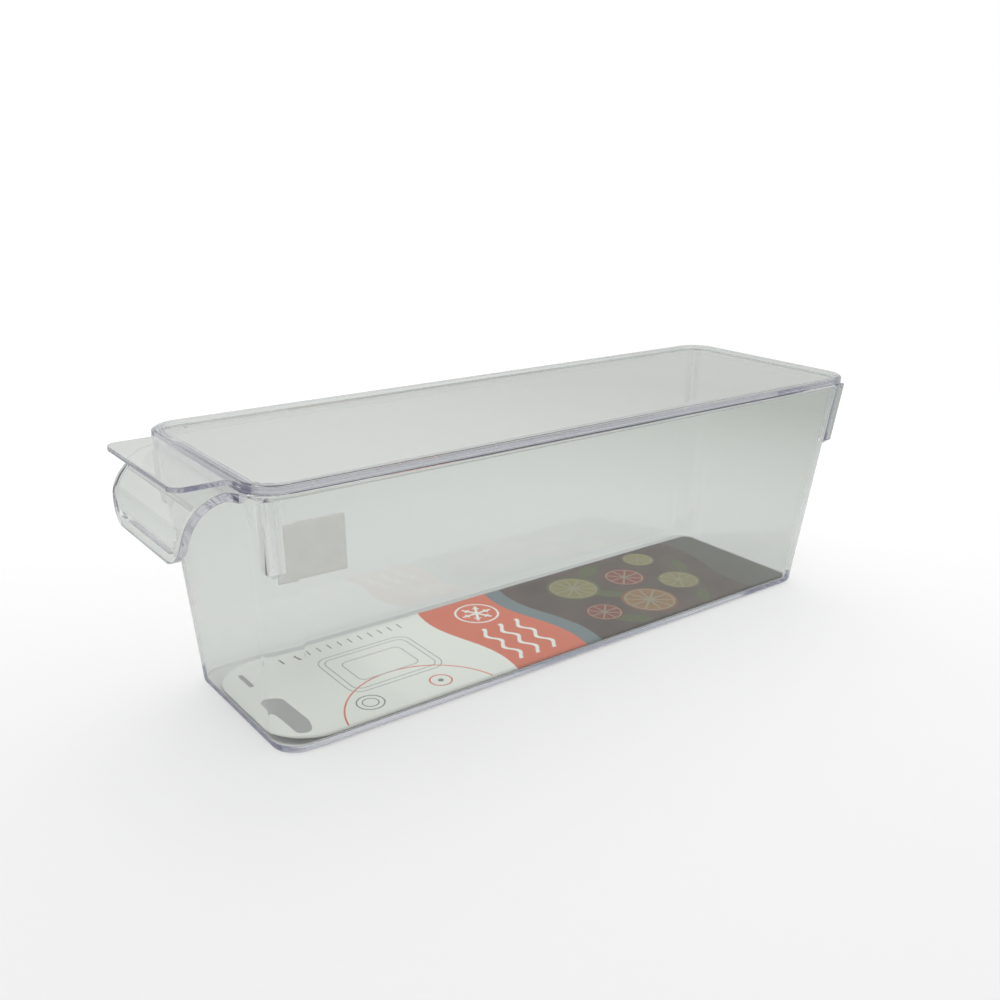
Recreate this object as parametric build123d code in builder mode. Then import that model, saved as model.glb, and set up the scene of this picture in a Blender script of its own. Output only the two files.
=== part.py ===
from build123d import *
import math
import os

# A clear fridge bin with a lift-off lid, a loose card on its floor and a paper sticker on one wall.
# Millimetres. +Z is up, X runs across and Y along, with the handle at -Y.
# The origin is on the floor under the middle of the whole outline.

# Rim outline, shared by the bin and the lid
rim_length = 305.0
rim_width = 100.0
rim_corner_radius = 12.5

# Hollow curves at the roots of the handle and the tab, as a share of the straight rim edge left beside each
root_share = 0.9

# Bin
bin_height = 101.8
wall = 2.0
floor = 2.4
rim_overhang = 1.5
rim_height = 1.8
rim_edge_radius = 0.4
side_taper = 8.5
back_taper = 10.5
front_taper = 7.8
base_corner_radius = 10.5
base_edge_radius = 1.6
floor_edge_radius = 1.2

# Handle, a curled apron in front of the rim
handle_side_inset = 17.0
handle_drop = 25.8
handle_step = 1.6
handle_thickness = 3.1
handle_reach = 1.4
handle_bend_radius = 17.5
handle_bend_angle = 83.0
handle_corner_radius = 13.0
handle_border = 3.6
handle_panel_depth = 0.8

# Corner lugs, where the long walls run on square past the rounded corners
lug_drop = 32.2
lug_length = 6.2
lug_depth = 10.0
lug_setback = 1.0
lug_slant = 4.0
lug_edge_radius = 1.0

# Lid, a plate with a raised border
lid_seat_gap = 0.15
lid_thickness = 1.8
lid_band_height = 2.45
lid_edge_radius = 0.3
bead_height = 0.6
bead_inset = 0.4
bead_rise_width = 1.8
bead_crest_width = 1.3
bead_fall_width = 0.8
bead_edge_radius = 0.3
rib_depth = 3.2
rib_thickness = 1.5
rib_clearance = 0.8
tab_length = 20.0
tab_side_inset = 17.5
tab_thickness = 1.8
tab_tip_radius = 5.0
tab_edge_radius = 0.4
gate_diameter = 1.6
gate_height = 0.3
gate_side_inset = 9.2
gate_front_inset = 13.9

# Card on the floor
card_thickness = 0.4
card_gap = 0.1
card_clearance = 0.3
card_far_gap = 4.0
card_back_gap = 2.2
card_front_radius = 18.0
card_back_radius = 4.5

# Sticker on the outside of the -X wall
sticker_length = 37.5
sticker_height = 25.7
sticker_thickness = 0.15
sticker_gap = 0.05
sticker_corner_radius = 0.8
sticker_front_distance = 62.9
sticker_rise = 42.6
sticker_tilt = 1.2

# Reach of every cut past the faces that it opens
overrun = 2.0

# Places worked out from the sizes above
overall_length = rim_length + tab_length
back_y = overall_length / 2
rim_front_y = back_y - rim_length
rim_middle_y = (back_y + rim_front_y) / 2
top_width = rim_width - 2 * rim_overhang
top_length = rim_length - 2 * rim_overhang
top_corner_radius = rim_corner_radius - rim_overhang
handle_width = rim_width - 2 * handle_side_inset
handle_root_radius = root_share * (handle_side_inset - rim_corner_radius)
tab_width = rim_width - 2 * tab_side_inset
tab_root_radius = root_share * (tab_side_inset - rim_corner_radius)


def wall_at(height):
    """Width, length, middle along Y and corner radius of the tub's outside at a height."""
    low_share = 1 - height / bin_height
    width = top_width - 2 * side_taper * low_share
    length = top_length - (front_taper + back_taper) * low_share
    middle = rim_middle_y + (front_taper - back_taper) / 2 * low_share
    radius = top_corner_radius + (base_corner_radius - top_corner_radius) * low_share
    return width, length, middle, radius


def wall_sketch(height, inset):
    """The tub's outline at a height, drawn in by an inset, as a sketch at that height."""
    width, length, middle, radius = wall_at(height)
    with BuildSketch(Plane.XY.offset(height)) as outline:
        with Locations((0, middle)):
            RectangleRounded(width - 2 * inset, length - 2 * inset, radius - inset)
    return outline.sketch


def rim_sketch(height, inset):
    """The shared outline of the rim and the lid, drawn in by an inset, as a sketch at a height."""
    with BuildSketch(Plane.XY.offset(height)) as outline:
        with Locations((0, rim_middle_y)):
            RectangleRounded(rim_width - 2 * inset, rim_length - 2 * inset, rim_corner_radius - inset)
    return outline.sketch


def tongue_sketch(height, reach, width, root_radius, tip_radius):
    """The rim's outline with a tongue out of its front edge and hollow curves where the two meet."""
    with BuildSketch(Plane.XY.offset(height)) as outline:
        with Locations((0, rim_middle_y)):
            RectangleRounded(rim_width, rim_length, rim_corner_radius)
        with Locations((0, rim_front_y)):
            Rectangle(width, 2 * reach)
        for side in (-1, 1):
            root = outline.vertices().sort_by_distance((side * width / 2, rim_front_y))[0]
            fillet(root, root_radius)
            tip = outline.vertices().sort_by_distance((side * width / 2, rim_front_y - reach))[0]
            fillet(tip, tip_radius)
    return outline.sketch


def ring_sketch(height, outer_inset, inner_inset):
    """A band that runs along the rim between two insets, as a sketch at a height."""
    with BuildSketch(Plane.XY.offset(height)) as band:
        add(rim_sketch(0, outer_inset))
        add(rim_sketch(0, inner_inset), mode=Mode.SUBTRACT)
    return band.sketch


# Handle
# Its profile leaves the rim level, bends down round one arc and ends in a straight apron.
handle_top = bin_height - handle_step
handle_low = bin_height - handle_drop
handle_root_y = rim_front_y + rim_overhang + wall / 2
bend_y = rim_front_y - handle_reach
bend_middle_z = handle_top - handle_bend_radius
handle_depth = handle_root_y - bend_y + 2 * handle_bend_radius
flare_width = handle_width + 2 * handle_root_radius


def handle_layer(outside, inside):
    """A face in the YZ plane between two depths below the handle's outer skin, past its lower edge."""
    bend_turn = math.radians(handle_bend_angle)
    apron_drop = bend_middle_z + handle_bend_radius * math.cos(bend_turn) - handle_low
    apron_length = apron_drop / math.sin(bend_turn) + overrun
    apron_angle = 180 + handle_bend_angle
    bend_middle = (bend_y, bend_middle_z)
    with BuildSketch(Plane.YZ.offset(-flare_width / 2)) as layer:
        with BuildLine():
            outer_top = Line((handle_root_y, handle_top - outside), (bend_y, handle_top - outside))
            outer_arc = CenterArc(bend_middle, handle_bend_radius - outside, 90, handle_bend_angle)
            outer_apron = PolarLine(outer_arc @ 1, apron_length, apron_angle)
            inner_top = Line((handle_root_y, handle_top - inside), (bend_y, handle_top - inside))
            inner_arc = CenterArc(bend_middle, handle_bend_radius - inside, 90, handle_bend_angle)
            inner_apron = PolarLine(inner_arc @ 1, apron_length, apron_angle)
            Line(outer_top @ 0, inner_top @ 0)
            Line(outer_apron @ 1, inner_apron @ 1)
        make_face()
    return layer.sketch


def handle_front(inset, top):
    """The handle's outline seen from the front, drawn in by an inset, with round lower corners."""
    low = handle_low + inset
    with BuildSketch(Plane.XZ.offset(-handle_root_y)) as outline:
        with Locations((0, (low + top) / 2)):
            Rectangle(handle_width - 2 * inset, top - low)
        fillet(outline.vertices().group_by(Axis.Y)[0], handle_corner_radius - inset)
    return outline.sketch


def handle_flare():
    """The wider space, seen from the front, that the handle's root spreads into."""
    low = handle_low + handle_corner_radius
    with BuildSketch(Plane.XZ.offset(-handle_root_y)) as outline:
        with Locations((0, (low + bin_height) / 2)):
            Rectangle(flare_width, bin_height - low)
    return outline.sketch


with BuildPart() as handle_panel:
    extrude(handle_layer(-overrun, handle_panel_depth), amount=flare_width)
    extrude(handle_front(handle_border, handle_top - handle_border), amount=handle_depth, mode=Mode.INTERSECT)

with BuildPart() as handle_outline:
    extrude(handle_front(0, bin_height), amount=handle_depth)
    extrude(handle_flare(), amount=handle_depth)

with BuildPart() as handle:
    extrude(handle_layer(0, handle_thickness), amount=flare_width)
    handle_plan = tongue_sketch(handle_low, handle_depth, handle_width, handle_root_radius, handle_root_radius)
    extrude(handle_plan, amount=handle_drop, mode=Mode.INTERSECT)
    add(handle_outline.part, mode=Mode.INTERSECT)
    add(handle_panel.part, mode=Mode.SUBTRACT)

# Tub, outside and inside
with BuildPart() as tub:
    loft([wall_sketch(0, 0), wall_sketch(bin_height, 0)], ruled=True)
    fillet(tub.faces().sort_by(Axis.Z)[0].edges(), base_edge_radius)

with BuildPart() as tub_inside:
    loft([wall_sketch(floor, wall), wall_sketch(bin_height + overrun, wall)], ruled=True)
    fillet(tub_inside.faces().sort_by(Axis.Z)[0].edges(), floor_edge_radius)

with BuildPart() as rim:
    extrude(rim_sketch(bin_height - rim_height, 0), amount=rim_height)
    fillet(rim.edges().filter_by(Plane.XY), rim_edge_radius)


# Corner lugs
def lug_sketch(height, side, end, inset):
    """A rectangle at one corner of the tub, flush with the long wall and set back from the end wall.
    The inset draws in its two free sides, and their corner is rounded."""
    width, length, middle, radius = wall_at(height)
    outer_x = side * (width / 2 - inset)
    outer_y = middle + end * (length / 2 - lug_setback - inset)
    lug_width = lug_depth - inset
    lug_span = lug_length - inset
    with BuildSketch(Plane.XY.offset(height)) as outline:
        with Locations((outer_x - side * lug_width / 2, outer_y - end * lug_span / 2)):
            Rectangle(lug_width, lug_span)
        fillet(outline.vertices().sort_by_distance((outer_x, outer_y))[0], lug_edge_radius)
    return outline.sketch


def make_lug(side, end):
    """One lug up to the rim, with its underside slanted in."""
    lug_low = bin_height - lug_drop
    underside = lug_sketch(lug_low, side, end, lug_slant)
    post_low = lug_sketch(lug_low + lug_slant, side, end, 0)
    post_top = lug_sketch(bin_height - rim_height, side, end, 0)
    with BuildPart() as lug:
        loft([underside, post_low, post_top], ruled=True)
    return lug.part


# Bin
with BuildPart() as bin_moulding:
    add(tub.part)
    add(rim.part)
    add(handle.part)
    for side in (-1, 1):
        for end in (-1, 1):
            add(make_lug(side, end))
    add(tub_inside.part, mode=Mode.SUBTRACT)

# Lid
lid_seat = bin_height + lid_seat_gap
panel_top = lid_seat + lid_thickness
band_top = lid_seat + lid_band_height
bead_top = band_top + bead_height
crest_outer_inset = bead_inset + bead_rise_width
crest_inner_inset = crest_outer_inset + bead_crest_width
panel_inset = crest_inner_inset + bead_fall_width
fall_slope = bead_fall_width / (bead_top - panel_top)
mouth_inset = crest_inner_inset - fall_slope * overrun
rib_low = lid_seat - rib_depth
rib_inset = rim_overhang + wall + rib_clearance
tab_low = band_top - tab_thickness

with BuildPart() as lid_band:
    extrude(rim_sketch(lid_seat, 0), amount=lid_band_height)
    fillet(lid_band.edges().filter_by(Plane.XY), lid_edge_radius)

with BuildPart() as tab_plate:
    extrude(tongue_sketch(tab_low, tab_length, tab_width, tab_root_radius, tab_tip_radius), amount=tab_thickness)
    fillet(tab_plate.edges().filter_by(Plane.XY), tab_edge_radius)

with BuildPart() as bead:
    loft([rim_sketch(band_top, bead_inset), rim_sketch(bead_top, crest_outer_inset)], ruled=True)
    mouth = [rim_sketch(panel_top, panel_inset), rim_sketch(bead_top + overrun, mouth_inset)]
    loft(mouth, ruled=True, mode=Mode.SUBTRACT)
    fillet(bead.edges().group_by(Axis.Z)[-1], bead_edge_radius)

with BuildPart() as lid:
    add(lid_band.part)
    add(tab_plate.part)
    loft(mouth, ruled=True, mode=Mode.SUBTRACT)
    add(bead.part)
    extrude(ring_sketch(rib_low, rib_inset, rib_inset + rib_thickness), amount=rib_depth)
    with BuildSketch(Plane.XY.offset(panel_top)):
        with Locations((gate_side_inset - rim_width / 2, rim_front_y + gate_front_inset)):
            Circle(gate_diameter / 2)
    extrude(amount=gate_height)

# Card, laid against the +X side of the floor
floor_width, floor_length, floor_middle, floor_radius = wall_at(floor)
card_inset = wall + floor_edge_radius + card_clearance
card_width = floor_width - 2 * card_inset - card_far_gap
card_length = floor_length - 2 * card_inset - card_back_gap

with BuildPart() as card:
    with BuildSketch(Plane.XY.offset(floor + card_gap)) as card_outline:
        with Locations((card_far_gap / 2, floor_middle - card_back_gap / 2)):
            Rectangle(card_width, card_length)
        fillet(card_outline.vertices().group_by(Axis.Y)[0], card_front_radius)
        fillet(card_outline.vertices().group_by(Axis.Y)[-1], card_back_radius)
    extrude(amount=card_thickness)

# Sticker, flat on the slope of the -X wall
wall_lean = math.atan2(side_taper, bin_height)
sticker_spot = (-wall_at(sticker_rise)[0] / 2, rim_front_y + sticker_front_distance, sticker_rise)
sticker_normal = (-math.cos(wall_lean), 0, -math.sin(wall_lean))
sticker_plane = Plane(origin=sticker_spot, x_dir=(0, -1, 0), z_dir=sticker_normal)

with BuildPart() as sticker:
    with BuildSketch(sticker_plane.offset(sticker_gap)):
        with Locations(Rotation(0, 0, sticker_tilt)):
            RectangleRounded(sticker_length, sticker_height, sticker_corner_radius)
    extrude(amount=sticker_thickness)

# Files
os.makedirs("parts", exist_ok=True)
bin_moulding.part.label = "bin"
export_step(bin_moulding.part, "parts/bin.step")
lid.part.label = "lid"
export_step(lid.part, "parts/lid.step")
card.part.label = "insert_card"
export_step(card.part, "parts/insert_card.step")
sticker.part.label = "price_sticker"
export_step(sticker.part, "parts/price_sticker.step")
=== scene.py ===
import bmesh
import bpy
import numpy as np
from mathutils import Matrix, Vector


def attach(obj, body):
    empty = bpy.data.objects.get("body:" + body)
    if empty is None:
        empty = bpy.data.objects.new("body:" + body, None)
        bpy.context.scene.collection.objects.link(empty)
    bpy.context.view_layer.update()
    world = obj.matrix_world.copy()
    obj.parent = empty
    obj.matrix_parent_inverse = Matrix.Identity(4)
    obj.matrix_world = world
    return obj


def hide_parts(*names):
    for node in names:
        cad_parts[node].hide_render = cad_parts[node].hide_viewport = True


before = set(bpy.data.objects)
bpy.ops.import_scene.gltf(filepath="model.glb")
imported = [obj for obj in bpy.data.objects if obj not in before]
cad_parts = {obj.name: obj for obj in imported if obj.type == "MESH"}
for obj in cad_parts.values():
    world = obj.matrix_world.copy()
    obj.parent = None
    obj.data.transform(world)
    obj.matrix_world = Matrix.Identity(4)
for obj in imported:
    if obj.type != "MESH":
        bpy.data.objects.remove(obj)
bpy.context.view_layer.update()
scene = bpy.context.scene
mm = 0.001
print("frame loaded:", sorted(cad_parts))


# one socket of a node tree, so that shader maths reads as plain sums
class Sock:
    def __init__(self, tree, socket=None):
        self.tree = tree
        self.socket = socket

    # any node: its type, its settings, which go first, and the values or links of its sockets
    def node(self, kind, settings=None, sockets=None, out=0):
        made = self.tree.nodes.new(kind)
        for name, value in (settings or {}).items():
            if name == "stops":
                while len(made.color_ramp.elements) < len(value):
                    made.color_ramp.elements.new(0.5)
                for element, (place, colour) in zip(made.color_ramp.elements, value):
                    element.position = place
                    element.color = (*colour, 1.0)
            else:
                setattr(made, name, value)
        for name, value in (sockets or {}).items():
            if isinstance(value, Sock):
                self.tree.links.new(value.socket, made.inputs[name])
            else:
                made.inputs[name].default_value = value
        return Sock(self.tree, made.outputs[out] if len(made.outputs) else None)

    # another output of the same node
    def other(self, name):
        return Sock(self.tree, self.socket.node.outputs[name])

    def math(self, operation, *values):
        return self.node("ShaderNodeMath", {"operation": operation}, dict(enumerate(values)))

    def __add__(self, other):
        return self.math("ADD", self, other)

    def __radd__(self, other):
        return self.math("ADD", other, self)

    def __sub__(self, other):
        return self.math("SUBTRACT", self, other)

    def __rsub__(self, other):
        return self.math("SUBTRACT", other, self)

    def __mul__(self, other):
        return self.math("MULTIPLY", self, other)

    def __rmul__(self, other):
        return self.math("MULTIPLY", other, self)

    def __truediv__(self, other):
        return self.math("DIVIDE", self, other)

    def __gt__(self, other):
        return self.math("GREATER_THAN", self, other)

    def __lt__(self, other):
        return self.math("LESS_THAN", self, other)

    def __abs__(self):
        return self.math("ABSOLUTE", self)

    # one colour to another as this goes from 0 to 1; sockets 6 and 7 are the mix node's colours
    def blend(self, first, second):
        first, second = (end if isinstance(end, Sock) else (*end, 1.0) for end in (first, second))
        return self.node("ShaderNodeMix", {"data_type": "RGBA"}, {0: self, 6: first, 7: second}, out=2)

    # this colour with another laid over it where the mask is 1
    def under(self, colour, mask):
        return mask.blend(self, colour)

    # 0 to 1 as this goes from low to high
    def climb(self, low, high, interpolation="SMOOTHSTEP"):
        return self.node("ShaderNodeMapRange", {"interpolation_type": interpolation}, {
            "Value": self, "From Min": low, "From Max": high})

    # noise over these coordinates
    def noise(self, scale, detail):
        return self.node("ShaderNodeTexNoise", sockets={"Vector": self, "Scale": scale, "Detail": detail})

    # colours at two or more places of this value
    def tint(self, places, colours):
        return self.node("ShaderNodeValToRGB", {"stops": list(zip(places, colours))}, {0: self})


def blank(name):
    material = bpy.data.materials.new(name)
    material.use_nodes = True
    material.node_tree.nodes.clear()
    return material, Sock(material.node_tree)


def shade(colour, share):
    return tuple(share * part for part in colour)


def wear(obj, material):
    obj.data.materials.clear()
    obj.data.materials.append(material)


# a grid of points, rows by columns, as a smooth mesh object in the scene
def gridPiece(name, points):
    rows, columns = points.shape[:2]
    corner = (np.arange(rows - 1)[:, None] * columns + np.arange(columns - 1)).ravel()
    faces = np.column_stack([corner, corner + 1, corner + columns + 1, corner + columns])
    mesh = bpy.data.meshes.new(name)
    mesh.from_pydata(points.reshape(-1, 3).tolist(), [], faces.tolist())
    mesh.polygons.foreach_set("use_smooth", np.ones(len(faces), dtype=bool))
    mesh.update()
    obj = bpy.data.objects.new(name, mesh)
    scene.collection.objects.link(obj)
    return obj


# a sheet made a closed slab, its thickness going down from the drawn face
def thicken(obj, thickness):
    slab = obj.modifiers.new("thickness", "SOLIDIFY")
    slab.thickness = thickness
    slab.offset = -1.0
    slab.use_even_offset = True


# half the width of a rounded rectangle at each place along it: full between the corners, and drawn in by
# the corners' circles towards both ends
def roundedHalfWidth(along, halfWidth, halfLength, startRadius, endRadius):
    early = np.clip(startRadius - halfLength - along, 0, startRadius)
    late = np.clip(along - halfLength + endRadius, 0, endRadius)
    startDrawn = startRadius - np.sqrt(startRadius ** 2 - early ** 2)
    endDrawn = endRadius - np.sqrt(endRadius ** 2 - late ** 2)
    return halfWidth - (startDrawn + endDrawn)


# places along a rounded rectangle: even in the middle, and by equal turns of the circle at both ends
def roundedStations(halfLength, startRadius, endRadius, evenCount, turnCount):
    even = np.linspace(startRadius - halfLength, halfLength - endRadius, evenCount)
    turn = 1 - np.sin(np.linspace(0, np.pi / 2, turnCount)[1:])
    return np.concatenate([(startRadius * turn - halfLength)[::-1], even, halfLength - endRadius * turn])


# points of the drawn shells: of a fillet, of an outline's round corner and of a path's round corner, with the
# shares of an outline's straight run and the angle in degrees past which an edge stays sharp
drawing = dict(filletPoints=13, cornerPoints=61, pathPoints=11, sharpAngle=20, normalWeight=50,
               runShares=(0.004, 0.04, 0.15, 0.3, 0.5, 0.7, 0.85, 0.96, 0.996))
quarter = np.linspace(0, np.pi / 2, drawing["filletPoints"])
turnShares = np.linspace(0, 1, drawing["cornerPoints"])
runShares = np.array(drawing["runShares"])


# closed outlines of rounded rectangles, one for each height: four quarter circles joined by straight runs,
# which have a point close to both ends
def roundedRings(halfWidth, halfLength, middle, radius, height):
    sizes = np.broadcast_arrays(halfWidth - radius, halfLength - radius, middle, radius, height)
    wide, long, mid, turned, height = (size[:, None, None] for size in sizes)
    signs = np.array([(1, 1), (-1, 1), (-1, -1), (1, -1)])
    angle = (np.arange(len(signs))[:, None] + turnShares) * np.pi / 2
    arcX = wide * signs[:, 0, None] + turned * np.cos(angle)
    arcY = mid + long * signs[:, 1, None] + turned * np.sin(angle)
    arc = np.stack([arcX, arcY], axis=3)
    ahead = np.roll(arc, -1, axis=1)[:, :, :1]
    run = arc[:, :, -1:] + runShares[:, None] * (ahead - arc[:, :, -1:])
    flat = np.concatenate([arc, run], axis=2).reshape(len(height), -1, 2)
    rise = np.broadcast_to(height, (*flat.shape[:2], 1))
    return np.concatenate([flat, rise], axis=2)


# a path of straight lines with each inner corner rounded: the arc's middle lies on the corner's bisector
def roundedPath(points, radii):
    points = np.array(points, float)
    before = points[:-2] - points[1:-1]
    after = points[2:] - points[1:-1]
    before /= np.linalg.norm(before, axis=1, keepdims=True)
    after /= np.linalg.norm(after, axis=1, keepdims=True)
    half = np.arccos(np.clip((before * after).sum(1), -1, 1)) / 2
    bisector = before + after
    bisector /= np.linalg.norm(bisector, axis=1, keepdims=True)
    radii = np.array(radii, float)
    middle = points[1:-1] + bisector * (radii / np.sin(half))[:, None]
    first = points[1:-1] + before * (radii / np.tan(half))[:, None] - middle
    last = points[1:-1] + after * (radii / np.tan(half))[:, None] - middle
    share = np.linspace(0, 1, drawing["pathPoints"])[:, None, None]
    sweep = (np.pi - 2 * half)[None, :, None]
    arc = middle + (np.sin((1 - share) * sweep) * first + np.sin(share * sweep) * last) / np.sin(sweep)
    return np.concatenate([points[:1], arc.transpose(1, 0, 2).reshape(-1, 2), points[-1:]])


# rows of closed loops, in millimetres, joined into a solid whose end loops are closed by a flat face
def loopSolid(name, rows):
    count, points = rows.shape[:2]
    row = np.arange(count - 1)[:, None] * points
    first = (row + np.arange(points)).ravel()
    second = (row + (np.arange(points) + 1) % points).ravel()
    faces = np.column_stack([first, second, second + points, first + points]).tolist()
    faces += [list(range(points))[::-1], list(range((count - 1) * points, count * points))]
    mesh = bpy.data.meshes.new(name)
    mesh.from_pydata((rows.reshape(-1, 3) * mm).tolist(), [], faces)
    work = bmesh.new()
    work.from_mesh(mesh)
    bmesh.ops.recalc_face_normals(work, faces=work.faces)
    work.to_mesh(mesh)
    work.free()
    obj = bpy.data.objects.new(name, mesh)
    scene.collection.objects.link(obj)
    return obj


# joins a body with other solids or cuts them from it, and drops them
def combine(body, others, operation):
    for other in others:
        step = body.modifiers.new("step", "BOOLEAN")
        step.operation = operation
        step.solver = "EXACT"
        step.object = other
    joined = body.evaluated_get(bpy.context.evaluated_depsgraph_get())
    mesh = bpy.data.meshes.new_from_object(joined)
    body.modifiers.clear()
    body.data = mesh
    for other in others:
        bpy.data.objects.remove(other)


# smooth shading with sharp edges past an angle, and flat faces kept flat
def smoothShell(obj):
    mesh = obj.data
    mesh.polygons.foreach_set("use_smooth", np.ones(len(mesh.polygons), dtype=bool))
    mesh.set_sharp_from_angle(angle=np.radians(drawing["sharpAngle"]))
    even = obj.modifiers.new("even_normals", "WEIGHTED_NORMAL")
    even.mode = "FACE_AREA"
    even.weight = drawing["normalWeight"]
    even.keep_sharp = True


# camera, fitted to the photograph's straight edges; its place in metres and its angles in degrees
view = dict(place=(0.3465882, -0.2735178, 0.2097963), azimuth=52.596, elevation=18.709, roll=0.692,
            lens=38.574, sensor=36.0, nearClip=0.01, farClip=50)


# the camera's back points away from what it sees, and its right and up are turned by the roll
def aimCamera():
    turn, rise, roll = np.radians([view["azimuth"], view["elevation"], view["roll"]])
    back = np.array([np.sin(turn) * np.cos(rise), -np.cos(turn) * np.cos(rise), np.sin(rise)])
    right = np.cross(-back, (0, 0, 1))
    right /= np.linalg.norm(right)
    up = np.cross(back, right)
    across = np.cos(roll) * right + np.sin(roll) * up
    upward = np.cos(roll) * up - np.sin(roll) * right
    camera = bpy.data.objects.new("camera", bpy.data.cameras.new("camera"))
    camera.data.lens = view["lens"]
    camera.data.sensor_width = view["sensor"]
    camera.data.clip_start = view["nearClip"]
    camera.data.clip_end = view["farClip"]
    pose = np.eye(4)
    pose[:3, :3] = np.stack([across, upward, back], axis=1)
    pose[:3, 3] = view["place"]
    camera.matrix_world = Matrix(pose.tolist())
    scene.collection.objects.link(camera)
    scene.camera = camera


aimCamera()
print("camera set")

# clear moulded plastic for the bin and the lid; the density is per metre, the ripples' depth in millimetres,
# and the glow is painted light that the plastic's depth gives off
plastic = dict(colour=(0.94, 0.945, 0.94), ior=1.57, lamps=(0.99, 0.99, 0.99), deep=(0.50, 0.50, 0.55),
               density=9.5, paintedGlow=(0.30, 0.30, 0.43), rippleScale=28.0, rippleDetail=1.0, rippleStrength=0.06,
               rippleDepth=1.0, scuffScale=160.0, scuffDetail=4.0, gloss=0.01, scuffed=0.03)


# glass with faint ripples and scuffs, plainly transparent for shadows, whose depth takes light and gives off
# a painted glow
def clearPlastic(name):
    material, start = blank(name)
    coords = start.node("ShaderNodeTexCoord", out="Object")
    ripple = coords.noise(plastic["rippleScale"], plastic["rippleDetail"])
    bump = start.node("ShaderNodeBump", sockets={
        "Height": ripple, "Strength": plastic["rippleStrength"], "Distance": plastic["rippleDepth"] * mm})
    scuffs = coords.noise(plastic["scuffScale"], plastic["scuffDetail"])
    glass = start.node("ShaderNodeBsdfPrincipled", sockets={
        "Base Color": (*plastic["colour"], 1), "IOR": plastic["ior"], "Transmission Weight": 1.0,
        "Roughness": plastic["gloss"] + plastic["scuffed"] * scuffs, "Normal": bump})
    lamps = start.node("ShaderNodeBsdfTransparent", sockets={"Color": (*plastic["lamps"], 1)})
    shadow = start.node("ShaderNodeLightPath", out="Is Shadow Ray")
    shown = start.node("ShaderNodeMixShader", sockets={0: shadow, 1: glass, 2: lamps})
    depth = start.node("ShaderNodeVolumeAbsorption", sockets={
        "Color": (*plastic["deep"], 1), "Density": plastic["density"]})
    # painted glow: the depth also gives off light of its own, so that the edges, where light goes a long way
    # through the plastic, tend to the glow's colour instead of going dark
    gain = [plastic["density"] * (1 - deep) * paintedGlow for deep, paintedGlow in zip(plastic["deep"], plastic["paintedGlow"])]
    paintedGlow = start.node("ShaderNodeEmission", sockets={"Color": (*gain, 1), "Strength": 1.0})
    inside = start.node("ShaderNodeAddShader", sockets={0: depth, 1: paintedGlow})
    start.node("ShaderNodeOutputMaterial", sockets={"Surface": shown, "Volume": inside})
    return material


# the bin's sizes in millimetres; the handle is at -Y
tub = dict(front=-142.5, back=162.5, halfWidth=50.0, corner=12.5, height=101.8, wall=2.0, floor=2.4,
           overhang=1.5, rimHeight=1.8, rimEdge=0.85, sideTaper=8.5, backTaper=10.5, frontTaper=7.8,
           baseCorner=10.5, baseEdge=1.6, floorEdge=1.2, innerFuller=1.6, wallStart=0.5, wallRows=7)
handle = dict(sideInset=17.0, drop=25.8, step=1.6, thickness=3.1, reach=1.4, bend=17.5, bendAngle=83.0,
              corner=13.0, border=3.6, panelDepth=0.6, ramp=2.2, edge=0.4, rootShare=0.9, flatRows=32,
              arcRows=72, apronRows=16, rampRows=7, cornerTurns=(0.05, 1.5, 14), rowSpacing=0.02,
              panelPoints=25)
lug = dict(drop=32.2, length=6.2, depth=10.0, setback=1.0, slant=4.0, edge=1.0, tuck=0.02)


# half width, front, back and corner radius of the tub's outside, straight from the base to the rim
def wallAt(height):
    low = 1 - height / tub["height"]
    half = tub["halfWidth"] - tub["overhang"] - tub["sideTaper"] * low
    front = tub["front"] + tub["overhang"] + tub["frontTaper"] * low
    back = tub["back"] - tub["overhang"] - tub["backTaper"] * low
    topCorner = tub["corner"] - tub["overhang"]
    return half, front, back, topCorner + (tub["baseCorner"] - topCorner) * low


# outlines of the tub's wall at these heights, drawn in by the inset, their corners fuller by so much
def wallRings(height, inset, fuller):
    half, front, back, radius = wallAt(height)
    halfLength = (back - front) / 2
    return roundedRings(half - inset, halfLength - inset, (front + back) / 2, radius - inset + fuller, height)


# outlines of the rim at these heights, drawn in by the inset; the lid's section is carried along them too
def rimRings(height, inset):
    halfLength = (tub["back"] - tub["front"]) / 2
    middle = np.full(len(height), (tub["back"] + tub["front"]) / 2)
    return roundedRings(tub["halfWidth"] - inset, halfLength - inset, middle, tub["corner"] - inset, height)


# a cup that starts in a round edge at its foot and goes up the walls, its corners fuller by so much
def cupRings(foot, edge, inset, top, fuller):
    walls = np.linspace(foot + edge + tub["wallStart"], top, tub["wallRows"])
    height = np.concatenate([foot + edge * (1 - np.cos(quarter)), walls])
    drawn = np.concatenate([edge * (1 - np.sin(quarter)), 0 * walls])
    return wallRings(height, inset + drawn, fuller)


# the rim: a flat plate with a quarter circle round its lower edge and another round its upper edge
def rimPlate():
    low, top, edge = tub["height"] - tub["rimHeight"], tub["height"], tub["rimEdge"]
    height = np.concatenate([low + edge * (1 - np.cos(quarter)), top - edge * (1 - np.sin(quarter))])
    inset = np.concatenate([edge * (1 - np.sin(quarter)), edge * (1 - np.cos(quarter))])
    return rimRings(height, inset)


# half width of a tongue in front of the rim: full, with hollow curves into the rim at its root
def tongueHalf(y, halfWidth, rootRadius):
    ahead = np.clip(rootRadius - np.clip(tub["front"] - y, 0, None), 0, rootRadius)
    return halfWidth + rootRadius - np.sqrt(rootRadius ** 2 - ahead ** 2)


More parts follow.
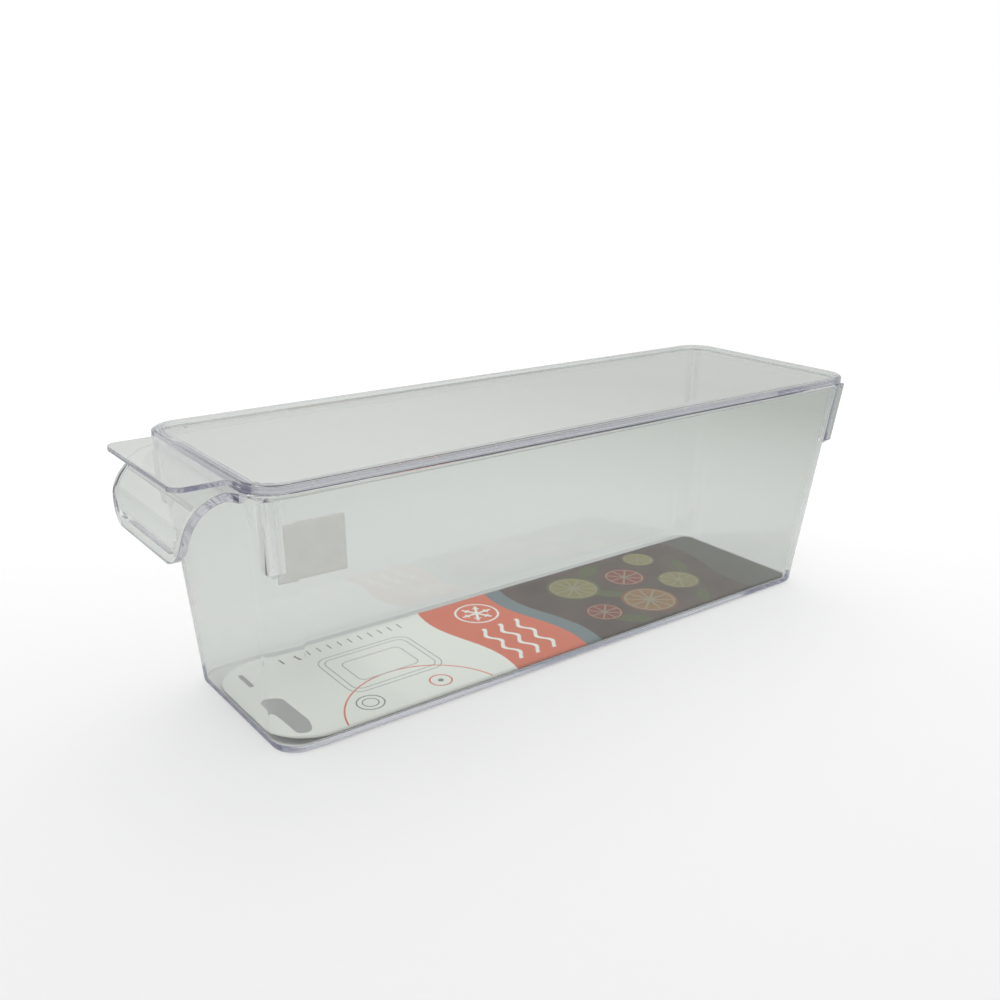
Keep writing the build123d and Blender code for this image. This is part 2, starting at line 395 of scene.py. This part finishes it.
# the handle: its skin runs level, round one arc and down a straight apron; at each place on it a closed loop
# goes over the outer skin with its sunk panel, round one edge, back under the inner skin and round the other
def handleRows():
    top, low = tub["height"] - handle["step"], tub["height"] - handle["drop"]
    rootY = tub["front"] + tub["overhang"] + tub["wall"] / 2
    bendY = tub["front"] - handle["reach"]
    bend, thickness, edge = handle["bend"], handle["thickness"], handle["edge"]
    turnEnd = np.radians(handle["bendAngle"])
    rootRadius = handle["rootShare"] * (handle["sideInset"] - tub["corner"])
    halfWidth = tub["halfWidth"] - handle["sideInset"]
    flat = rootY - bendY
    arc = bend * turnEnd
    apron = (top - bend + bend * np.cos(turnEnd) - low) / np.sin(turnEnd)
    total = flat + arc + apron
    panelStart = flat + bend * np.arccos(1 - handle["border"] / bend)
    panelEnd = total - handle["border"] / np.sin(turnEnd)
    ramp = handle["ramp"] * np.linspace(0, 1, handle["rampRows"])
    slope = (1 - np.cos(np.linspace(0, np.pi, handle["rampRows"]))) / 2
    panelRows = np.concatenate([panelStart + ramp, panelEnd - ramp])
    cornerRows = total - handle["corner"] * (1 - np.sin(np.linspace(*handle["cornerTurns"])))
    along = np.unique(np.concatenate([
        np.linspace(0, flat, handle["flatRows"]), np.linspace(flat, flat + arc, handle["arcRows"]),
        np.linspace(flat + arc, total - edge, handle["apronRows"]),
        panelRows, cornerRows, total - edge * (1 - np.sin(quarter))]))
    along = along[np.concatenate([np.diff(along) > handle["rowSpacing"], [True]])]
    pinch = edge - np.sqrt(edge ** 2 - np.clip(along - total + edge, 0, edge) ** 2)
    sunk = np.interp(along - panelStart, ramp, slope) * np.interp(panelEnd - along, ramp, slope)

    # the skin at a depth below the outer face: level, then turned about the arc's middle, then straight down,
    # with both faces drawn together round the lower edge
    def skin(depth):
        turn = np.clip((along - flat) / bend, 0, turnEnd)
        past = np.clip(along - flat - arc, 0, None)
        y = rootY - np.minimum(along, flat) - bend * np.sin(turn) - past * np.cos(turnEnd)
        z = top - bend + bend * np.cos(turn) - past * np.sin(turnEnd)
        depth = np.clip(depth, pinch, thickness - pinch)
        return y + depth * np.sin(turn), z - depth * np.cos(turn)

    # half width there: round lower corners seen from the front, and the root's hollow curves seen from above
    def half(depth, inset):
        y, z = skin(depth)
        radius = handle["corner"] - inset
        past = np.clip(low + handle["corner"] - z, 0, radius)
        return tongueHalf(y, halfWidth - inset - radius + np.sqrt(radius ** 2 - past ** 2), rootRadius)

    def column(x, depth):
        return np.stack([x, *skin(depth)], axis=1)

    panel = np.minimum(half(0 * along, handle["border"]), half(0 * along, 0) - handle["border"])
    rounds = [(edge * (1 - np.sin(turn)), edge * (1 - np.cos(turn))) for turn in quarter]
    shares = np.linspace(-1, 1, handle["panelPoints"])
    outer = [column(panel * share, handle["panelDepth"] * sunk) for share in shares]
    lip = {side: [column(side * (panel + out), handle["panelDepth"] * sunk * (1 - rise))
                  for out, rise in zip(ramp[1:], slope[1:])] for side in (-1, 1)}
    inner = [column(panel * share, thickness + 0 * along) for share in shares[::-1]]

    # the rounded edge on one side, from the outer skin or from the inner one
    def edgeColumns(side, deep):
        depths = [(abs(deep - sink) + 0 * along, inset) for sink, inset in rounds]
        return [column(side * (half(depth, 0) - inset), depth) for depth, inset in depths]

    edges = {(side, deep): edgeColumns(side, deep) for side in (-1, 1) for deep in (0, thickness)}
    loop = (edges[-1, 0] + lip[-1][::-1] + outer + lip[1] + edges[1, 0][::-1] + edges[1, thickness] + inner
            + edges[-1, thickness][::-1])
    return np.stack(loop, axis=1)


# a corner lug: a rectangle with one round corner at three heights, the lowest drawn in for the slanted foot
def lugRows(side, end):
    low = tub["height"] - lug["drop"]
    height = np.array([low, low + lug["slant"], tub["height"] - tub["rimHeight"] + tub["rimEdge"]])
    drawn = np.array([lug["slant"], 0, 0])
    half, front, back, radius = wallAt(height)
    outX = (half - lug["tuck"] - drawn)[:, None]
    outY = ((back if end > 0 else -front) - lug["setback"] - drawn)[:, None]
    wide, span = (lug["depth"] - drawn)[:, None], (lug["length"] - drawn)[:, None]
    edge = lug["edge"]
    x = np.concatenate([outX - wide, outX - edge * (1 - np.sin(quarter)), outX, outX - wide], axis=1)
    y = np.concatenate([outY, outY - edge * (1 - np.cos(quarter)), outY - span, outY - span], axis=1)
    return np.stack([side * x, end * y, np.repeat(height[:, None], x.shape[1], axis=1)], axis=2)


binShell = loopSolid("bin_shell", cupRings(0, tub["baseEdge"], 0, tub["height"] - tub["rimHeight"] / 2, 0))
lugs = [loopSolid("lug", lugRows(side, end)) for side in (-1, 1) for end in (-1, 1)]
combine(binShell, [loopSolid("rim", rimPlate()), loopSolid("handle", handleRows()), *lugs], "UNION")
inside = loopSolid("inside", cupRings(
    tub["floor"], tub["floorEdge"], tub["wall"], tub["height"] + tub["wall"], tub["innerFuller"]))
combine(binShell, [inside], "DIFFERENCE")
smoothShell(binShell)
wear(binShell, clearPlastic("bin_plastic"))
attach(binShell, "bin")
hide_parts("bin")
print("bin moulded:", len(binShell.data.polygons), "faces")

# the lid's sizes in millimetres
lid = dict(seatGap=0.15, thickness=1.8, bandHeight=2.45, edge=0.3, beadHeight=0.6, beadInset=0.5,
           beadRise=0.45, beadCrest=2.55, beadFall=0.8, crestEdge=0.4, footEdge=0.4, panelMargin=0.8,
           ribDepth=3.2, ribThickness=1.5, ribClearance=0.8, ribEdge=0.3)
tab = dict(length=20.0, sideInset=17.5, thickness=1.8, tip=5.0, edge=0.4, tuck=0.01, overlap=0.6, rootRows=36,
           middleRows=8, tipTurns=(0, 1.5, 10), rowSpacing=0.01, acrossShare=0.97, acrossPoints=9)
gate = dict(place=(-40.8, -128.6), radius=0.8, height=0.3, edge=0.12, sink=0.3, points=32)
lidSeat = tub["height"] + lid["seatGap"]
panelTop = lidSeat + lid["thickness"]
bandTop = lidSeat + lid["bandHeight"]
beadTop = bandTop + lid["beadHeight"]


# the lid's section, as inset from the outline and height: rib, underside, outer edge, raised border and panel
def lidRings():
    ribOut = tub["overhang"] + tub["wall"] + lid["ribClearance"]
    ribIn = ribOut + lid["ribThickness"]
    crest = lid["beadInset"] + lid["beadRise"]
    fall = crest + lid["beadCrest"]
    foot = fall + lid["beadFall"]
    ribLow = lidSeat - lid["ribDepth"]
    margin = lid["panelMargin"]
    path = roundedPath(
        [(ribIn + margin, lidSeat), (ribIn, lidSeat), (ribIn, ribLow), (ribOut, ribLow), (ribOut, lidSeat),
         (0, lidSeat), (0, bandTop), (lid["beadInset"], bandTop), (crest, beadTop), (fall, beadTop),
         (foot, panelTop), (foot + margin, panelTop)],
        [lid["ribEdge"]] * 4 + [lid["edge"]] * 3 + [lid["crestEdge"]] * 2 + [lid["footEdge"]])
    return rimRings(path[:, 1], path[:, 0])


# the pull tab: a closed loop across it at each place from the border to its tip
def tabRows():
    edge, thickness, tip = tab["edge"], tab["thickness"], tab["tip"]
    tipY = tub["front"] - tab["length"]
    rootRadius = handle["rootShare"] * (tab["sideInset"] - tub["corner"])
    rootEnd = tub["front"] - rootRadius
    tipRows = tipY + tip * (1 - np.sin(np.linspace(*tab["tipTurns"])))
    y = np.unique(np.concatenate([
        np.linspace(tub["front"] + tab["overlap"], rootEnd, tab["rootRows"]),
        np.linspace(rootEnd, tipY + tip, tab["middleRows"]),
        tipRows, tipY + edge * (1 - np.sin(quarter))]))[::-1]
    y = y[np.concatenate([np.diff(y) < -tab["rowSpacing"], [True]])]
    pinch = edge - np.sqrt(edge ** 2 - np.clip(tipY + edge - y, 0, edge) ** 2)
    past = np.clip(tipY + tip - y, 0, tip)
    halfWidth = tub["halfWidth"] - tab["sideInset"] - tip + np.sqrt(tip ** 2 - past ** 2)
    half = tongueHalf(y, halfWidth, rootRadius)
    top = bandTop - tab["tuck"]
    rounds = [(edge * (1 - np.sin(turn)), edge * (1 - np.cos(turn))) for turn in quarter]

    def column(x, depth):
        return np.stack([x, y, top - np.clip(depth, pinch, thickness - pinch)], axis=1)

    shares = np.linspace(-tab["acrossShare"], tab["acrossShare"], tab["acrossPoints"])
    upper = [column((half - edge) * share, 0 * y) for share in shares]
    under = [column((half - edge) * share, thickness + 0 * y) for share in shares[::-1]]
    edges = {(side, deep): [column(side * (half - inset), abs(deep - sink) + 0 * y) for sink, inset in rounds]
             for side in (-1, 1) for deep in (0, thickness)}
    loop = edges[-1, 0] + upper + edges[1, 0][::-1] + edges[1, thickness] + under + edges[-1, thickness][::-1]
    return np.stack(loop, axis=1)


# the gate mark: a low round stud with a rounded top
def gateRows():
    turn = np.linspace(0, 2 * np.pi, gate["points"], endpoint=False)
    edge = gate["edge"]
    rise = np.concatenate([[-gate["sink"]], gate["height"] - edge * (1 - np.sin(quarter))])
    radius = gate["radius"] - np.concatenate([[0], edge * (1 - np.cos(quarter))])
    x = gate["place"][0] + radius[:, None] * np.cos(turn)
    y = gate["place"][1] + radius[:, None] * np.sin(turn)
    return np.stack([x, y, np.repeat(panelTop + rise[:, None], len(turn), axis=1)], axis=2)


lidShell = loopSolid("lid_shell", lidRings())
combine(lidShell, [loopSolid("tab", tabRows()), loopSolid("gate_mark", gateRows())], "UNION")
smoothShell(lidShell)
wear(lidShell, clearPlastic("lid_plastic"))
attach(lidShell, "lid")
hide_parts("lid")
print("lid moulded:", len(lidShell.data.polygons), "faces")

# printed card on the bin's floor, in millimetres of the shared frame
card = dict(middle=(2.0, 7.5), width=69.4, length=274.9, frontCorner=18.0, backCorner=4.5, top=2.88,
            thickness=0.3, bow=0.06, evenRows=40, turnRows=14, acrossPoints=25)
# its inks and its surface; the low and high shares are how far the noise darkens or lightens an ink
inks = dict(white=(0.90, 0.93, 0.875), orange=(0.74, 0.19, 0.115), slate=(0.19, 0.235, 0.245),
            dark=(0.095, 0.068, 0.058), rear=(0.115, 0.115, 0.095), ink=(0.22, 0.23, 0.22),
            grey=(0.42, 0.43, 0.42), board=(0.62, 0.60, 0.55), leaf=(0.10, 0.125, 0.05),
            pith=(0.30, 0.27, 0.19), whiteLow=0.95, orangeLow=0.93, boardLow=0.85, darkLow=0.7,
            darkHigh=1.25, fleshLow=0.75, speckScale=1400.0, cloudScale=45.0, noiseDetail=3.0,
            speckStops=(0.3, 0.7), cloudStops=(0.35, 0.65), fleshStops=(0.0, 0.8), fleshCloud=0.3,
            fibreStrength=0.15, fibreDepth=0.1, backRoughness=0.62, faceGloss=0.2, cloudRoughness=0.12)
# the layout, in millimetres across the card from its middle and along it from its front end: where each zone
# of colour starts, and a slow wave of these borders across the card
zones = dict(orange=101, slate=139, dark=147.5, rear=252, wave=4, waveRate=0.075)
# bars as place, half sizes and end radius; the ticks' step, width, place, half length and reach
bars = [("grey", (13, 10, 15, 3.2, 3.2)), ("ink", (-20, 10, 6, 1.0, 1.0))]
ticks = dict(step=2.5, width=0.3, across=-28.5, half=2.2, start=22, end=88)
# the wide arc as place, radius, line and where it is cut off; frames as half sizes and corner radius
wideArc = dict(place=(40, 58), radius=34, line=0.7, end=33)
frames = dict(place=(-3, 60), line=0.5, sizes=[(17, 22, 6), (14.5, 19.5, 4), (9, 14, 3)])
# rings as ink, place, radius and line, and a dot
rings = [("ink", (23, 40), 5.5, 0.6), ("ink", (23, 40), 3.2, 0.5), ("orange", (24, 72), 4.5, 0.7)]
dot = dict(place=(24, 72), radius=1.2)
# cold-air waves and the ringed snow star on the orange zone
waves = dict(swing=1.6, rate=0.5, first=112, step=4.5, half=1.0, left=-4, right=28, start=110, end=132.5)
star = dict(place=(-19, 121), arms=6, armHalf=0.65, armLength=7.5, tipRadius=5.2, tipLine=0.9, tipHalf=1.7,
            ringRadius=9.8, ringLine=1.0)
# plain fruit slices on the dark zone: place, radius, segments, and colours of the flesh and the rind
slices = [(-15, 176, 13.0, 10, (0.27, 0.25, 0.09), (0.12, 0.14, 0.05)),
          (14, 170, 9.0, 8, (0.25, 0.060, 0.045), (0.16, 0.035, 0.03)),
          (16, 197, 13.5, 10, (0.31, 0.17, 0.07), (0.24, 0.10, 0.04)),
          (-11, 206, 10.5, 8, (0.25, 0.060, 0.045), (0.16, 0.035, 0.03)),
          (-24, 228, 8.5, 8, (0.27, 0.25, 0.09), (0.12, 0.14, 0.05)),
          (7, 226, 10.5, 9, (0.26, 0.235, 0.09), (0.14, 0.15, 0.05))]
# how far out, in radii, the pith, the flesh and the core reach, and half the gap between two segments
fruit = dict(pith=0.9, flesh=0.82, core=0.1, gap=0.045)
# leaves between them, each where two circles overlap: place and half the step between the circles
leafForm = dict(radius=13, vein=2.5, veinInset=0.6)
leaves = [(-27, 196, (8, 4)), (27, 222, (6, 8)), (0, 186, (-7, 6)), (-6, 240, (4, 9)), (27, 176, (7, -6))]


# the face is across times the rounded half width, with a slight lengthwise bow in its height
def makeCard():
    halfLength = card["length"] / 2
    along = roundedStations(
        halfLength, card["frontCorner"], card["backCorner"], card["evenRows"], card["turnRows"])
    across = np.linspace(-1, 1, card["acrossPoints"])
    half = roundedHalfWidth(along, card["width"] / 2, halfLength, card["frontCorner"], card["backCorner"])
    x = card["middle"][0] + half[:, None] * across
    y = np.broadcast_to(card["middle"][1] + along[:, None], x.shape)
    z = card["top"] - card["bow"] * (along[:, None] / halfLength) ** 2 + 0 * x
    piece = gridPiece("card_sheet", np.stack([x, y, z], axis=2) * mm)
    thicken(piece, card["thickness"] * mm)
    return piece


# the print: the zones' colours laid over one another, each from its own wavy border on
def cardPrint():
    material, start = blank("card_print")
    coords = start.node("ShaderNodeTexCoord", out="Object")
    place = start.node("ShaderNodeSeparateXYZ", sockets={0: coords})
    across = place / mm - card["middle"][0]
    along = place.other("Y") / mm - (card["middle"][1] - card["length"] / 2)
    face = place.other("Z") / mm > card["top"] - card["bow"] - card["thickness"] / 2
    sway = zones["wave"] * start.math("SINE", across * zones["waveRate"])
    speck = coords.noise(inks["speckScale"], inks["noiseDetail"])
    cloud = coords.noise(inks["cloudScale"], inks["noiseDetail"])

    def apart(px, py):
        dx = across - px
        dy = along - py
        return start.math("SQRT", dx * dx + dy * dy)

    # distance outside a bar with round ends, or inside it where less than zero
    def bar(px, py, halfAcross, halfAlong, radius):
        dx = start.math("MAXIMUM", abs(across - px) - (halfAcross - radius), 0)
        dy = start.math("MAXIMUM", abs(along - py) - (halfAlong - radius), 0)
        return start.math("SQRT", dx * dx + dy * dy) - radius

    def line(distance, width):
        return abs(distance) < width / 2

    def between(value, low, high):
        return (value > low) * (value < high)

    # an ink, darker by its low share where the specks are dark
    def specked(ink):
        return speck.tint(inks["speckStops"], [shade(inks[ink], inks[ink + "Low"]), inks[ink]])

    def palePart():
        paper = specked("white")
        for ink, form in bars:
            paper = paper.under(inks[ink], bar(*form) < 0)
        marks = (start.math("PINGPONG", along, ticks["step"]) < ticks["width"])
        marks = marks * (abs(across - ticks["across"]) < ticks["half"])
        paper = paper.under(inks["ink"], marks * between(along, ticks["start"], ticks["end"]))
        arc = line(apart(*wideArc["place"]) - wideArc["radius"], wideArc["line"])
        paper = paper.under(inks["orange"], arc * (across < wideArc["end"]))
        for size in frames["sizes"]:
            paper = paper.under(inks["grey"], line(bar(*frames["place"], *size), frames["line"]))
        for ink, middle, radius, width in rings:
            paper = paper.under(inks[ink], line(apart(*middle) - radius, width))
        return paper.under(inks["ink"], apart(*dot["place"]) < dot["radius"])

    def orangePart():
        wavy = along + waves["swing"] * start.math("SINE", across * waves["rate"])
        air = start.math("PINGPONG", wavy - waves["first"], waves["step"]) < waves["half"]
        air = air * between(across, waves["left"], waves["right"])
        air = air * between(wavy, waves["start"], waves["end"])
        away = apart(*star["place"])
        turn = start.math("ARCTAN2", across - star["place"][0], along - star["place"][1])
        aside = start.math("PINGPONG", turn, np.pi / star["arms"]) * away
        arms = (aside < star["armHalf"]) * (away < star["armLength"])
        tips = line(away - star["tipRadius"], star["tipLine"]) * (aside < star["tipHalf"])
        ring = line(away - star["ringRadius"], star["ringLine"])
        badge = start.math("MAXIMUM", start.math("MAXIMUM", arms, tips), ring)
        return specked("orange").under(inks["white"], start.math("MAXIMUM", air, badge))

    def darkPart():
        ends = [shade(inks["dark"], share) for share in (inks["darkLow"], inks["darkHigh"])]
        night = cloud.tint(inks["cloudStops"], ends)
        for px, py, lean in leaves:
            first = apart(px + lean[0], py + lean[1])
            second = apart(px - lean[0], py - lean[1])
            leaf = start.math("MAXIMUM", first, second) - leafForm["radius"]
            vein = abs((across - px) * lean[0] + (along - py) * lean[1]) < leafForm["vein"]
            night = night.under(inks["leaf"], leaf < 0)
            night = night.under(inks["dark"], vein * (leaf < -leafForm["veinInset"]))
        for px, py, radius, count, flesh, rind in slices:
            away = apart(px, py) / radius
            turn = start.math("ARCTAN2", across - px, along - py)
            wedge = start.math("PINGPONG", turn, np.pi / count) * away
            mixed = (1 - inks["fleshCloud"]) * away + inks["fleshCloud"] * cloud
            ripe = mixed.tint(inks["fleshStops"], [shade(flesh, inks["fleshLow"]), flesh])
            night = night.under(rind, away < 1)
            night = night.under(inks["pith"], away < fruit["pith"])
            night = night.under(ripe, between(away, fruit["core"], fruit["flesh"]) * (wedge > fruit["gap"]))
        return night

    colour = palePart().under(orangePart(), along > zones["orange"] + sway)
    colour = colour.under(inks["slate"], along > zones["slate"] + sway)
    colour = colour.under(darkPart(), along > zones["dark"] + sway)
    colour = colour.under(inks["rear"], along > zones["rear"] - sway)
    colour = specked("board").under(colour, face)
    fibre = start.node("ShaderNodeBump", sockets={
        "Height": speck, "Strength": inks["fibreStrength"], "Distance": inks["fibreDepth"] * mm})
    rough = inks["backRoughness"] - inks["faceGloss"] * face + inks["cloudRoughness"] * cloud
    sheet = start.node("ShaderNodeBsdfPrincipled", sockets={
        "Base Color": colour, "Roughness": rough, "Normal": fibre})
    start.node("ShaderNodeOutputMaterial", sockets={"Surface": sheet})
    return material


cardSheet = makeCard()
wear(cardSheet, cardPrint())
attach(cardSheet, "card")
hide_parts("insert_card")
print("card laid on the floor of the bin")

# paper sticker on the outside of the far wall, in millimetres; lean and tilt in degrees
sticker = dict(middle=(-43.56, -79.6, 42.6), length=37.5, height=25.7, corner=0.8, lean=4.773, tilt=1.2,
               gap=0.16, thickness=0.1, wrinkle=0.03, waveAlong=3.1, waveUp=4.3, waveSkew=9.0, evenRows=40,
               turnRows=5, upPoints=27, paper=(0.95, 0.94, 0.88), stain=(0.89, 0.87, 0.80),
               stops=(0.35, 0.62), speckScale=1100.0, speckDetail=4.0, blotchScale=110.0, blotchDetail=3.0,
               blotchShare=0.75, fibreStrength=0.2, fibreDepth=0.1, roughness=0.6, blotchRoughness=0.2,
               scatter=(1.0, 1.0, 0.9), scatterDepth=0.6)


# a flat sheet on the wall's slope, lifted along the wall's normal by two crossed waves
def makeSticker():
    lean, tilt = np.radians([sticker["lean"], sticker["tilt"]])
    normal = np.array([-np.cos(lean), 0, -np.sin(lean)])
    flatLong = np.array([0, -1.0, 0])
    flatUp = np.cross(normal, flatLong)
    long = np.cos(tilt) * flatLong + np.sin(tilt) * flatUp
    up = np.cos(tilt) * flatUp - np.sin(tilt) * flatLong
    halfLength = sticker["length"] / 2
    corner = sticker["corner"]
    along = roundedStations(halfLength, corner, corner, sticker["evenRows"], sticker["turnRows"])
    half = roundedHalfWidth(along, sticker["height"] / 2, halfLength, corner, corner)
    along = along[:, None]
    rise = half[:, None] * np.linspace(1, -1, sticker["upPoints"])
    crossed = np.cos(rise / sticker["waveUp"] + along / sticker["waveSkew"])
    lift = sticker["gap"] + sticker["wrinkle"] * np.sin(along / sticker["waveAlong"]) * crossed
    flat = np.array(sticker["middle"]) + along[..., None] * long + rise[..., None] * up
    points = flat + lift[..., None] * normal
    piece = gridPiece("sticker_sheet", points * mm)
    thicken(piece, sticker["thickness"] * mm)
    return piece


# paper with soft stains and fibres, in which light scatters a little way
def stickerPaper():
    material, start = blank("sticker_paper")
    coords = start.node("ShaderNodeTexCoord", out="Object")
    speck = coords.noise(sticker["speckScale"], sticker["speckDetail"])
    blotch = coords.noise(sticker["blotchScale"], sticker["blotchDetail"])
    mixed = sticker["blotchShare"] * blotch + (1 - sticker["blotchShare"]) * speck
    paper = mixed.tint(sticker["stops"], [sticker["stain"], sticker["paper"]])
    fibre = start.node("ShaderNodeBump", sockets={
        "Height": speck, "Strength": sticker["fibreStrength"], "Distance": sticker["fibreDepth"] * mm})
    rough = sticker["roughness"] + sticker["blotchRoughness"] * blotch
    sheet = start.node("ShaderNodeBsdfPrincipled", sockets={
        "Base Color": paper, "Roughness": rough, "Normal": fibre, "Subsurface Weight": 1.0,
        "Subsurface Radius": sticker["scatter"], "Subsurface Scale": sticker["scatterDepth"] * mm})
    start.node("ShaderNodeOutputMaterial", sockets={"Surface": sheet})
    return material


stickerSheet = makeSticker()
wear(stickerSheet, stickerPaper())
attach(stickerSheet, "bin")
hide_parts("price_sticker")
print("sticker on the wall")

# floor, world and lamp, in metres; glass and gloss show a greyer room than the white that the camera sees
studio = dict(floorHalf=6.0, floorDrop=0.0003, floorColour=0.96, nearRadius=0.34, farRadius=0.8, fill=0.5,
              roomNear=(0.74, 0.765, 0.74), roomFar=(0.44, 0.465, 0.435), roomStart=0.08, roomEnd=0.48,
              roomAcross=0.92, roomBehind=1.12, roomBack=0.05, floorGloss=(0.66, 0.68, 0.66),
              frontGloss=(1.0, 1.0, 1.0), backGloss=(0.84, 0.85, 0.84), glossStart=0.3, glossEnd=0.75,
              skyGlass=(0.80, 0.82, 0.80), skyStart=0.05, skyEnd=0.7, lampSize=1.5,
              lampPlace=(-0.7, 0.5, 1.35), lampPower=20.5, glassBounces=64, glossBounces=24, clearBounces=24)


# one colour for each kind of ray
def byRay(start, other, gloss, glass, camera):
    path = start.node("ShaderNodeLightPath")
    colour = start.node("ShaderNodeCombineColor", sockets=dict(enumerate(other)))
    colour = colour.under(gloss, path.other("Is Glossy Ray"))
    colour = colour.under(glass, path.other("Is Transmission Ray"))
    return colour.under(camera, path.other("Is Camera Ray"))


# matte near the bin and a white glow far away; glass sees a room there that gets darker with distance
def layFloor():
    half = studio["floorHalf"]
    corners = np.array([(-1, -1), (1, -1), (1, 1), (-1, 1)]) * half
    points = np.column_stack([corners, np.full(4, -studio["floorDrop"])])
    mesh = bpy.data.meshes.new("floor")
    mesh.from_pydata(points.tolist(), [], [(0, 1, 2, 3)])
    floor = bpy.data.objects.new("floor", mesh)
    scene.collection.objects.link(floor)
    material, start = blank("floor_white")
    coords = start.node("ShaderNodeTexCoord", out="Object")
    reach = start.node("ShaderNodeVectorMath", {"operation": "LENGTH"}, {0: coords}, out="Value")
    far = reach.climb(studio["nearRadius"], studio["farRadius"])
    place = start.node("ShaderNodeSeparateXYZ", sockets={0: coords})
    across = studio["roomAcross"] * place
    behind = studio["roomBehind"] * start.math("MAXIMUM", place.other("Y") - studio["roomBack"], 0)
    away = start.math("SQRT", across * across + behind * behind)
    dim = away.climb(studio["roomStart"], studio["roomEnd"], "LINEAR")
    room = dim.blend(studio["roomNear"], studio["roomFar"])
    grey = (studio["floorColour"],) * 3
    matte = start.node("ShaderNodeBsdfDiffuse", sockets={
        "Color": byRay(start, grey, studio["floorGloss"], room, grey)})
    white = start.node("ShaderNodeEmission", sockets={
        "Color": byRay(start, grey, studio["floorGloss"], room, (1, 1, 1)), "Strength": 1.0})
    path = start.node("ShaderNodeLightPath")
    glass = start.math("MAXIMUM", path.other("Is Glossy Ray"), path.other("Is Transmission Ray"))
    seen = start.math("MAXIMUM", path.other("Is Camera Ray"), glass)
    shown = start.node("ShaderNodeMixShader", sockets={0: far * seen, 1: matte, 2: white})
    start.node("ShaderNodeOutputMaterial", sockets={"Surface": shown})
    wear(floor, material)


# a white world, greyer for glass and gloss, and one soft lamp above the far side
def lightRoom():
    world = bpy.data.worlds.new("studio")
    scene.world = world
    world.use_nodes = True
    world.node_tree.nodes.clear()
    start = Sock(world.node_tree)
    direction = start.node("ShaderNodeTexCoord")
    parts = start.node("ShaderNodeSeparateXYZ", sockets={0: direction})
    rise = parts.other("Z").climb(studio["skyStart"], studio["skyEnd"])
    room = rise.blend(studio["roomFar"], studio["skyGlass"])
    behind = parts.other("Y").climb(studio["glossStart"], studio["glossEnd"])
    gloss = behind.blend(studio["frontGloss"], studio["backGloss"])
    sky = start.node("ShaderNodeBackground", sockets={"Strength": 1.0, "Color": byRay(
        start, (studio["fill"],) * 3, gloss, room, (1, 1, 1))})
    start.node("ShaderNodeOutputWorld", sockets={"Surface": sky})
    lamp = bpy.data.lights.new("top_softbox", "AREA")
    lamp.shape = "SQUARE"
    lamp.size = studio["lampSize"]
    lamp.energy = studio["lampPower"]
    top = bpy.data.objects.new("top_softbox", lamp)
    top.location = studio["lampPlace"]
    top.rotation_euler = Vector(studio["lampPlace"]).to_track_quat("Z", "Y").to_euler()
    top.visible_glossy = False
    top.visible_transmission = False
    scene.collection.objects.link(top)


layFloor()
lightRoom()
scene.view_settings.view_transform = "Standard"
# light has to find its way along the clear walls and out again
scene.cycles.max_bounces = studio["glassBounces"]
scene.cycles.transmission_bounces = studio["glassBounces"]
scene.cycles.glossy_bounces = studio["glossBounces"]
scene.cycles.transparent_max_bounces = studio["clearBounces"]
print("floor and lamps set")
